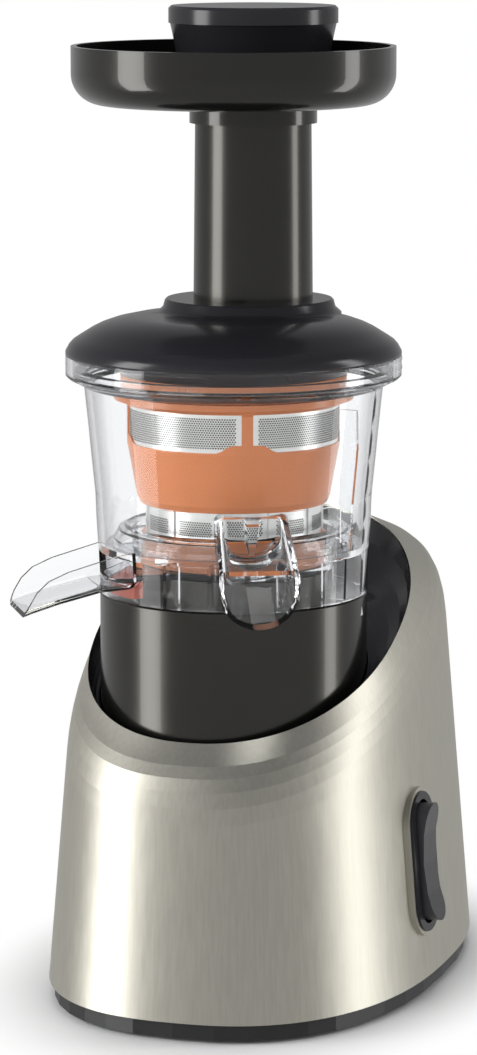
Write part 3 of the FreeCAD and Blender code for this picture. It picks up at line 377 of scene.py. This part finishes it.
def perforation_tree():
    """Instances one hole disc on every point of a flat lattice, and rolls it round the axis."""
    tree = bpy.data.node_groups.new(PERFORATIONS, "GeometryNodeTree")
    for label, kind, default in (
            ("Columns", "NodeSocketInt", 10), ("Rows", "NodeSocketInt", 10),
            ("Pitch", "NodeSocketFloat", 0.001), ("Hole Radius", "NodeSocketFloat", 0.0003),
            ("Bottom", "NodeSocketFloat", 0.25), ("Start Angle", "NodeSocketFloat", 0.0),
            ("Ring Radius", "NodeSocketFloat", 0.046), ("Material", "NodeSocketMaterial", None)):
        socket = tree.interface.new_socket(label, in_out="INPUT", socket_type=kind)
        if default is not None:
            socket.default_value = default
    tree.interface.new_socket("Geometry", in_out="OUTPUT", socket_type="NodeSocketGeometry")
    start = tree.nodes.new("NodeGroupInput")
    end = tree.nodes.new("NodeGroupOutput")
    link = tree.links.new

    def math_node(operation, a, b):
        node = tree.nodes.new("ShaderNodeMath")
        node.operation = operation
        for index, value in enumerate((a, b)):
            if isinstance(value, (int, float)):
                node.inputs[index].default_value = value
            elif value is not None:
                link(value, node.inputs[index])
        return node.outputs[0]

    count = math_node("MULTIPLY", start.outputs["Columns"], start.outputs["Rows"])
    points = tree.nodes.new("GeometryNodePoints")
    link(count, points.inputs["Count"])
    index = tree.nodes.new("GeometryNodeInputIndex").outputs[0]
    row = math_node("FLOOR", math_node("DIVIDE", index, start.outputs["Columns"]), None)
    column = math_node("SUBTRACT", index, math_node("MULTIPLY", row, start.outputs["Columns"]))
    offset = math_node("MULTIPLY", math_node("MODULO", row, 2.0), 0.5)
    along = math_node("MULTIPLY", math_node("ADD", column, offset), start.outputs["Pitch"])
    angle = math_node("ADD", math_node("DIVIDE", along, start.outputs["Ring Radius"]),
                      start.outputs["Start Angle"])
    rise = math_node("MULTIPLY", math_node("MULTIPLY", row, start.outputs["Pitch"]),
                     ROW_SHARE)
    height = math_node("ADD", rise, start.outputs["Bottom"])
    place = tree.nodes.new("ShaderNodeCombineXYZ")
    link(math_node("MULTIPLY", math_node("COSINE", angle, None), start.outputs["Ring Radius"]),
         place.inputs["X"])
    link(math_node("MULTIPLY", math_node("SINE", angle, None), start.outputs["Ring Radius"]),
         place.inputs["Y"])
    link(height, place.inputs["Z"])
    move = tree.nodes.new("GeometryNodeSetPosition")
    link(points.outputs[0], move.inputs["Geometry"])
    link(place.outputs[0], move.inputs["Position"])
    disc = tree.nodes.new("GeometryNodeMeshCircle")
    disc.fill_type = "NGON"
    disc.inputs["Vertices"].default_value = 8
    link(start.outputs["Hole Radius"], disc.inputs["Radius"])
    turn = tree.nodes.new("ShaderNodeCombineXYZ")
    turn.inputs["X"].default_value = math.pi / 2
    link(math_node("ADD", angle, math.pi / 2), turn.inputs["Z"])
    spread = tree.nodes.new("GeometryNodeInstanceOnPoints")
    link(move.outputs[0], spread.inputs["Points"])
    link(disc.outputs[0], spread.inputs["Instance"])
    link(turn.outputs[0], spread.inputs["Rotation"])
    real = tree.nodes.new("GeometryNodeRealizeInstances")
    link(spread.outputs[0], real.inputs[0])
    paint = tree.nodes.new("GeometryNodeSetMaterial")
    link(real.outputs[0], paint.inputs["Geometry"])
    link(start.outputs["Material"], paint.inputs["Material"])
    link(paint.outputs[0], end.inputs[0])
    return tree


def run_tree(name, tree, values):
    """The tree's result as a plain mesh object with no modifier."""
    identifiers = {item.name: item.identifier for item in tree.interface.items_tree
                   if item.item_type == "SOCKET" and item.in_out == "INPUT"}
    carrier = bpy.data.objects.new(name + "_carrier", bpy.data.meshes.new(name + "_carrier"))
    bpy.context.scene.collection.objects.link(carrier)
    modifier = carrier.modifiers.new("nodes", "NODES")
    modifier.node_group = tree
    for label, value in values.items():
        modifier[identifiers[label]] = value
    bpy.context.view_layer.update()
    depsgraph = bpy.context.evaluated_depsgraph_get()
    mesh = bpy.data.meshes.new_from_object(carrier.evaluated_get(depsgraph))
    mesh.name = name
    piece = bpy.data.objects.new(name, mesh)
    bpy.context.scene.collection.objects.link(piece)
    bpy.data.objects.remove(carrier)
    return piece


def joined(name, pieces, material):
    """One object from several meshes that share their material."""
    bm = bmesh.new()
    for piece in pieces:
        bm.from_mesh(piece.data)
    mesh = bpy.data.meshes.new(name)
    bm.to_mesh(mesh)
    bm.free()
    for piece in pieces:
        bpy.data.objects.remove(piece)
    mesh.materials.append(material)
    whole = bpy.data.objects.new(name, mesh)
    bpy.context.scene.collection.objects.link(whole)
    return whole


SPOUT_ANGLE = math.radians(-90 + 25.3)
WINDOW_COUNT = 4
WINDOW_STEP = math.radians(90)
WINDOW_SWEEP = math.radians(84)
WINDOW_BORDER = 0.0022
PANEL_COUNT = 11
PANEL_BORDER = 0.0030
SLEEVE_RADIUS = 0.0393
SLEEVE_TOP_EDGE = 0.0008
PROUD = 0.00006


def hole_field(name, material, radius, low, high, middle, sweep, border):
    """Perforations over one panel of a sleeve, inside a plain border."""
    pitch = sizes().hole_pitch
    tree = bpy.data.node_groups.get(PERFORATIONS) or perforation_tree()
    columns = int((sweep * radius - 2 * border) / pitch)
    rows = int((high - low - 2 * border) / (pitch * ROW_SHARE)) + 1
    used = (columns - 0.5) * pitch / radius
    return run_tree(name, tree, {
        "Columns": columns, "Rows": rows, "Pitch": pitch, "Hole Radius": sizes().hole_radius,
        "Bottom": low + border, "Start Angle": middle - used / 2, "Ring Radius": radius,
        "Material": material})


def window_holes():
    """Perforations of the four upper panels, just proud of the sheet."""
    low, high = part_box("upper_mesh")
    panels = []
    for index in range(WINDOW_COUNT):
        middle = SPOUT_ANGLE + WINDOW_STEP * (index + 0.5)
        panels.append(hole_field("window_holes_%d" % index, hole_shadow(), high.x + PROUD,
                                 low.z, high.z, middle, WINDOW_SWEEP, WINDOW_BORDER))
    return joined("upper_perforations", panels, hole_shadow())


def sleeve_holes():
    """Perforations between the ribs of the lower sleeve."""
    low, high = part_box("lower_mesh")
    radius = SLEEVE_RADIUS + PROUD
    step = 2 * math.pi / PANEL_COUNT
    panels = []
    for index in range(PANEL_COUNT):
        panels.append(hole_field("sleeve_holes_%d" % index, hole_shadow(), radius,
                                 low.z, high.z - SLEEVE_TOP_EDGE, SPOUT_ANGLE + step * index,
                                 step, PANEL_BORDER))
    return joined("lower_perforations", panels, hole_shadow())


def curved_plate(bm, outline, inner, outer):
    """A plate on a cylinder from an outline of (angle, height) points, walled all round."""
    rings = []
    for radius in (inner, outer):
        rings.append([bm.verts.new((radius * math.cos(a), radius * math.sin(a), z))
                      for a, z in outline])
    bm.faces.new(rings[1])
    bm.faces.new(list(reversed(rings[0])))
    count = len(outline)
    for index in range(count):
        other = (index + 1) % count
        bm.faces.new((rings[0][index], rings[0][other], rings[1][other], rings[1][index]))


# A gusset's rise above the window's lower edge, from its post outwards
GUSSET_RUN = ((0.0, 0.0034), (0.0055, 0.0034), (0.0075, 0.0031), (0.0095, 0.0020),
              (0.0115, 0.0007), (0.0135, 0.0))
GUSSET_FOOT = 0.0004
GUSSET_SINK = 0.0003
GUSSET_PROUD = 0.00065


def strainer_gussets():
    """Raised orange corners under each post of the upper windows."""
    low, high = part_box("upper_mesh")
    radius = high.x
    base = low.z - GUSSET_FOOT
    bm = bmesh.new()
    for index in range(WINDOW_COUNT):
        middle = SPOUT_ANGLE + WINDOW_STEP * index
        for side in (-1, 1):
            for (s0, h0), (s1, h1) in zip(GUSSET_RUN[:-1], GUSSET_RUN[1:]):
                a0 = middle + side * s0 / radius
                a1 = middle + side * s1 / radius
                outline = [(a0, base), (a1, base), (a1, base + GUSSET_FOOT + h1),
                           (a0, base + GUSSET_FOOT + h0)]
                curved_plate(bm, outline, radius - GUSSET_SINK, radius + GUSSET_PROUD)
    return new_piece("strainer_gussets", bm, strainer_orange())


STRIP_SINK = 0.0002


def rounded_strip(points, half, radius, rise):
    """A raised line on a cylinder: four-sided section along (angle, height) points."""
    bm = bmesh.new()
    rows = []
    for index, (angle, height) in enumerate(points):
        before = points[max(index - 1, 0)]
        after = points[min(index + 1, len(points) - 1)]
        along = Vector(((after[0] - before[0]) * radius, after[1] - before[1])).normalized()
        across = Vector((-along.y, along.x)) * half
        row = []
        for sign, lift in ((1, -STRIP_SINK), (1, rise), (-1, rise), (-1, -STRIP_SINK)):
            a = angle + sign * across.x / radius
            r = radius + lift
            row.append(bm.verts.new((r * math.cos(a), r * math.sin(a),
                                     height + sign * across.y)))
        rows.append(row)
    for first, second in zip(rows[:-1], rows[1:]):
        for index in range(4):
            other = (index + 1) % 4
            bm.faces.new((first[index], first[other], second[other], second[index]))
    bm.faces.new(rows[0])
    bm.faces.new(list(reversed(rows[-1])))
    return bm


RIM_RADIUS = 0.0748
SLOT_COUNT = 3
SLOT_FIRST = -128
SLOT_STEP = 120
SLOT_SWEEP = 46
SLOT_TOP = 0.0016
SLOT_BOTTOM = 0.0056
SLOT_SIDE_STEPS = 24
SLOT_END_STEPS = 8
STOP_ANGLE = 38
STOP_SHIFT = 2.4
STOP_TOP = 0.0062
STOP_BOTTOM = 0.0092


def slot_path(start, end, low, high):
    """Open bayonet slot with one rounded end, as (angle, height) points."""
    points = []
    for index in range(SLOT_SIDE_STEPS + 1):
        points.append((start + (end - start) * index / SLOT_SIDE_STEPS, high))
    middle = (low + high) / 2
    half = (high - low) / 2
    for index in range(1, SLOT_END_STEPS + 1):
        t = math.pi * index / SLOT_END_STEPS
        points.append((end + half / RIM_RADIUS * math.sin(t), middle + half * math.cos(t)))
    for index in range(1, SLOT_SIDE_STEPS + 1):
        points.append((end + (start - end) * index / SLOT_SIDE_STEPS, low))
    return points


def rim_slots():
    """Outlines of the three bayonet slots on the bowl's rim and a pair of stop ribs."""
    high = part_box("juice_bowl")[1]
    top = high.z - SLOT_TOP
    bottom = high.z - SLOT_BOTTOM
    strips = []
    for index in range(SLOT_COUNT):
        start = math.radians(SLOT_FIRST + SLOT_STEP * index)
        path = slot_path(start, start + math.radians(SLOT_SWEEP), bottom, top)
        bm = rounded_strip(path, 0.00022, high.x, 0.00025)
        strips.append(new_piece("slot_%d" % index, bm, clear_plastic(), 60))
        for shift in (0.0, STOP_SHIFT):
            angle = start + math.radians(STOP_ANGLE + shift)
            ends = [(angle, high.z - STOP_BOTTOM), (angle, high.z - STOP_TOP)]
            bm = rounded_strip(ends, 0.00035, high.x, 0.0004)
            strips.append(new_piece("stop_%d" % index, bm, clear_plastic(), 60))
    return joined("rim_slots", strips, clear_plastic())


# The rib's half width at shares of its length, from the top down
RIB_SECTIONS = ((0.0, 0.0042), (0.3, 0.0036), (0.75, 0.0024), (1.0, 0.0012))
RIB_TOP = 0.0016
RIB_LENGTH = 0.0165
RIB_ROOT = 0.0612
RIB_FACE = 0.0628
RIB_SLOPE = 0.0030
RIB_FACE_SHARE = 0.7


def spout_rib():
    """Tapered rib that hangs in the middle of the spout's mouth at its root."""
    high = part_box("juice_spout")[1]
    bm = bmesh.new()
    rows = []
    for share, half in RIB_SECTIONS:
        height = high.z - RIB_TOP - RIB_LENGTH * share
        near = RIB_FACE + RIB_SLOPE * (1 - share)
        row = []
        for x, y in ((-half, RIB_ROOT), (-half * RIB_FACE_SHARE, near),
                     (half * RIB_FACE_SHARE, near), (half, RIB_ROOT)):
            a = SPOUT_ANGLE
            row.append(bm.verts.new((y * math.cos(a) - x * math.sin(a),
                                     y * math.sin(a) + x * math.cos(a), height)))
        rows.append(row)
    for first, second in zip(rows[:-1], rows[1:]):
        for index in range(4):
            other = (index + 1) % 4
            bm.faces.new((first[index], first[other], second[other], second[index]))
    bm.faces.new(rows[0])
    bm.faces.new(list(reversed(rows[-1])))
    return new_piece("spout_rib", bm, clear_plastic(), 60)


LID_EDGE = 0.2924
LID_SKIRT = 0.064
SKIRT_SHARE = 0.25


def lid_cover():
    """The lid with the short skirt that is seen above the bowl's clear rim."""
    bm = bmesh.new()
    bm.from_mesh(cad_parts["juicer_lid"].data)
    bmesh.ops.remove_doubles(bm, verts=bm.verts, dist=1e-6)
    for vert in bm.verts:
        if vert.co.z < LID_EDGE and vert.co.xy.length > LID_SKIRT:
            vert.co.z = LID_EDGE - (LID_EDGE - vert.co.z) * SKIRT_SHARE
    return new_piece("lid_cover", bm, gloss_black(), 30)


DRUM_RADIUS = 0.0599
MARK_ANGLE = 0.0
MARK_HALF_SWEEP = 0.030
MARK_FOOT = 0.1772
MARK_TIP = 0.1812
MARK_SINK = 0.0002
MARK_PROUD = 0.00012


def alignment_mark():
    """Small triangle on the drum that lines up with the bowl."""
    bm = bmesh.new()
    curved_plate(bm, [(MARK_ANGLE - MARK_HALF_SWEEP, MARK_FOOT),
                      (MARK_ANGLE + MARK_HALF_SWEEP, MARK_FOOT), (MARK_ANGLE, MARK_TIP)],
                 DRUM_RADIUS - MARK_SINK, DRUM_RADIUS + MARK_PROUD)
    return new_piece("alignment_mark", bm, mark_white())


def mark_white():
    return plain_material("mark_white", (0.75, 0.75, 0.73), 0.5, tone=0.03, bump=0.02)


# Operators


class OBJECT_OT_juicer_finishes(bpy.types.Operator):
    """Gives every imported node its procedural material"""
    bl_idname = "object.juicer_finishes"
    bl_label = "Node finishes"

    def execute(self, context):
        for name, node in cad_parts.items():
            material = NODE_FINISHES[name]()
            node.data.materials.clear()
            node.data.materials.append(material)
        return {"FINISHED"}


class OBJECT_OT_juicer_strainer(bpy.types.Operator):
    """Adds the strainer's perforations and its raised corners"""
    bl_idname = "object.juicer_strainer"
    bl_label = "Strainer detail"

    def execute(self, context):
        settle(window_holes(), "bowl")
        settle(sleeve_holes(), "bowl")
        settle(strainer_gussets(), "bowl")
        return {"FINISHED"}


class OBJECT_OT_juicer_bowl(bpy.types.Operator):
    """Adds the bowl's bayonet slots and the spout's rib"""
    bl_idname = "object.juicer_bowl"
    bl_label = "Bowl detail"

    def execute(self, context):
        settle(rim_slots(), "bowl")
        settle(spout_rib(), "bowl")
        return {"FINISHED"}


class OBJECT_OT_juicer_lid(bpy.types.Operator):
    """Builds the lid with its short skirt"""
    bl_idname = "object.juicer_lid"
    bl_label = "Lid"

    def execute(self, context):
        settle(lid_cover(), "lid", "juicer_lid")
        return {"FINISHED"}


class OBJECT_OT_juicer_mark(bpy.types.Operator):
    """Adds the drum's alignment mark"""
    bl_idname = "object.juicer_mark"
    bl_label = "Alignment mark"

    def execute(self, context):
        settle(alignment_mark(), "housing")
        return {"FINISHED"}


class OBJECT_OT_juicer_stage(bpy.types.Operator):
    """Builds the floor, the lamps, the world and the camera"""
    bl_idname = "object.juicer_stage"
    bl_label = "Studio"

    def execute(self, context):
        build_floor()
        build_world()
        build_lamps()
        build_camera()
        return {"FINISHED"}


# The juicer's footprint on the floor: middle and half sizes of an ellipse
FOOTPRINT_MIDDLE = 0.0465
FOOTPRINT_HALF_WIDTH = 0.089
FOOTPRINT_HALF_DEPTH = 0.136


def build_floor():
    bm = bmesh.new()
    bmesh.ops.create_circle(bm, cap_ends=True, segments=64, radius=6.0)
    floor = new_piece("studio_floor", bm, floor_material())
    floor.visible_glossy = False


def floor_material():
    """Pale floor that turns plain white away from the object."""
    made = bpy.data.materials.new("studio_floor")
    made.use_nodes = True
    nodes = made.node_tree.nodes
    links = made.node_tree.links
    shader = nodes["Principled BSDF"]
    shader.inputs["Base Color"].default_value = (0.9, 0.9, 0.9, 1)
    shader.inputs["Roughness"].default_value = 0.6
    white = nodes.new("ShaderNodeEmission")
    coords = nodes.new("ShaderNodeTexCoord")
    centred = nodes.new("ShaderNodeMapping")
    centred.inputs["Location"].default_value = (
        0, -FOOTPRINT_MIDDLE / FOOTPRINT_HALF_DEPTH, 0)
    centred.inputs["Scale"].default_value = (
        1 / FOOTPRINT_HALF_WIDTH, 1 / FOOTPRINT_HALF_DEPTH, 1)
    links.new(coords.outputs["Object"], centred.inputs["Vector"])
    length = nodes.new("ShaderNodeVectorMath")
    length.operation = "LENGTH"
    links.new(centred.outputs["Vector"], length.inputs[0])
    fade = nodes.new("ShaderNodeMapRange")
    fade.interpolation_type = "SMOOTHSTEP"
    fade.inputs["From Min"].default_value = 0.96
    fade.inputs["From Max"].default_value = 1.5
    links.new(length.outputs["Value"], fade.inputs["Value"])
    path = nodes.new("ShaderNodeLightPath")
    seen = nodes.new("ShaderNodeMath")
    seen.operation = "MAXIMUM"
    links.new(path.outputs["Is Camera Ray"], seen.inputs[0])
    links.new(path.outputs["Is Transmission Ray"], seen.inputs[1])
    both = nodes.new("ShaderNodeMath")
    both.operation = "MULTIPLY"
    links.new(seen.outputs[0], both.inputs[0])
    links.new(fade.outputs["Result"], both.inputs[1])
    mix = nodes.new("ShaderNodeMixShader")
    links.new(both.outputs[0], mix.inputs["Fac"])
    links.new(shader.outputs[0], mix.inputs[1])
    links.new(white.outputs[0], mix.inputs[2])
    links.new(mix.outputs[0], nodes["Material Output"].inputs["Surface"])
    return made


def build_world():
    """White where it is seen directly or through plastic, and a dim studio elsewhere."""
    world = bpy.data.worlds.new("studio_world")
    bpy.context.scene.world = world
    world.use_nodes = True
    nodes = world.node_tree.nodes
    links = world.node_tree.links
    background = nodes["Background"]
    coords = nodes.new("ShaderNodeTexCoord")
    split = nodes.new("ShaderNodeSeparateXYZ")
    links.new(coords.outputs["Generated"], split.inputs[0])
    rise = nodes.new("ShaderNodeMapRange")
    rise.inputs["From Min"].default_value = -0.2
    rise.inputs["From Max"].default_value = 0.9
    links.new(split.outputs["Z"], rise.inputs["Value"])
    studio = nodes.new("ShaderNodeValToRGB")
    studio.color_ramp.elements[0].color = (0.46, 0.46, 0.46, 1)
    studio.color_ramp.elements[1].color = (0.14, 0.14, 0.15, 1)
    links.new(rise.outputs["Result"], studio.inputs["Fac"])
    path = nodes.new("ShaderNodeLightPath")
    seen = nodes.new("ShaderNodeMath")
    seen.operation = "MAXIMUM"
    links.new(path.outputs["Is Camera Ray"], seen.inputs[0])
    links.new(path.outputs["Is Transmission Ray"], seen.inputs[1])
    mix = nodes.new("ShaderNodeMix")
    mix.data_type = "RGBA"
    for socket in mix.inputs:
        if socket.identifier == "A_Color":
            links.new(studio.outputs["Color"], socket)
        if socket.identifier == "B_Color":
            socket.default_value = (1, 1, 1, 1)
    links.new(seen.outputs[0], mix.inputs["Factor"])
    for socket in mix.outputs:
        if socket.identifier == "Result_Color":
            links.new(socket, background.inputs["Color"])


def area_lamp(name, place, target, width, height, power):
    data = bpy.data.lights.new(name, "AREA")
    data.shape = "RECTANGLE"
    data.size = width
    data.size_y = height
    data.energy = power
    lamp = bpy.data.objects.new(name, data)
    bpy.context.scene.collection.objects.link(lamp)
    lamp.location = place
    lamp.rotation_euler = (Vector(target) - Vector(place)).to_track_quat("-Z", "Y").to_euler()
    return lamp


def build_lamps():
    """A tall softbox on each side, and two soft lamps that gloss doesn't show."""
    middle = (0, 0.03, 0.22)
    area_lamp("softbox_left", (-1.25, -0.80, 0.35), middle, 0.6, 1.9, 20)
    area_lamp("softbox_right", (1.35, 0.45, 0.35), middle, 0.35, 1.9, 9)
    front = area_lamp("front_left", (-0.55, -1.6, 0.9), middle, 1.1, 1.1, 10)
    top = area_lamp("overhead", (0.0, 0.1, 1.6), middle, 1.0, 1.0, 10)
    front.visible_glossy = False
    top.visible_glossy = False


CAMERA_DISTANCE = 1.7679
CAMERA_SIDEWAYS = 0.00219
CAMERA_HEIGHT = 0.5088
CAMERA_DIP = 9.476
SENSOR_HEIGHT = 24.0
FOCAL_PIXELS = 4000
PHOTO_HEIGHT = 1055


def build_camera():
    """A little higher than the pusher, turned towards the switch and tipped down."""
    turn = sizes().camera_turn
    data = bpy.data.cameras.new("camera")
    data.sensor_fit = "VERTICAL"
    data.sensor_height = SENSOR_HEIGHT
    data.lens = SENSOR_HEIGHT * FOCAL_PIXELS / PHOTO_HEIGHT
    camera = bpy.data.objects.new("camera", data)
    bpy.context.scene.collection.objects.link(camera)
    camera.location = (CAMERA_SIDEWAYS * math.cos(turn) + CAMERA_DISTANCE * math.sin(turn),
                       CAMERA_SIDEWAYS * math.sin(turn) - CAMERA_DISTANCE * math.cos(turn),
                       CAMERA_HEIGHT)
    camera.rotation_euler = (math.radians(90 - CAMERA_DIP), 0, turn)
    bpy.context.scene.camera = camera
    bpy.context.scene.view_settings.view_transform = "Standard"


OPERATORS = (OBJECT_OT_juicer_finishes, OBJECT_OT_juicer_strainer, OBJECT_OT_juicer_bowl,
             OBJECT_OT_juicer_lid, OBJECT_OT_juicer_mark, OBJECT_OT_juicer_stage)


class VIEW3D_PT_juicer(bpy.types.Panel):
    """Sizes, colours and steps of the juicer"""
    bl_label = "Juicer"
    bl_idname = "VIEW3D_PT_juicer"
    bl_space_type = "VIEW_3D"
    bl_region_type = "UI"
    bl_category = "Juicer"

    def draw(self, context):
        layout = self.layout
        for name in JuicerFinish.__annotations__:
            layout.prop(context.scene.juicer_finish, name)
        for name in JuicerSizes.__annotations__:
            layout.prop(context.scene.juicer_sizes, name)
        for operator in OPERATORS:
            layout.operator(operator.bl_idname)


CLASSES = (JuicerFinish, JuicerSizes) + OPERATORS + (VIEW3D_PT_juicer,)


def register():
    for cls in CLASSES:
        bpy.utils.register_class(cls)
    bpy.types.Scene.juicer_finish = bpy.props.PointerProperty(type=JuicerFinish)
    bpy.types.Scene.juicer_sizes = bpy.props.PointerProperty(type=JuicerSizes)


def unregister():
    del bpy.types.Scene.juicer_finish
    del bpy.types.Scene.juicer_sizes
    for cls in reversed(CLASSES):
        bpy.utils.unregister_class(cls)


def main():
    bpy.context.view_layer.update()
    register()
    for operator in OPERATORS:
        group, name = operator.bl_idname.split(".")
        getattr(getattr(bpy.ops, group), name)()


if __name__ == "__main__":
    main()
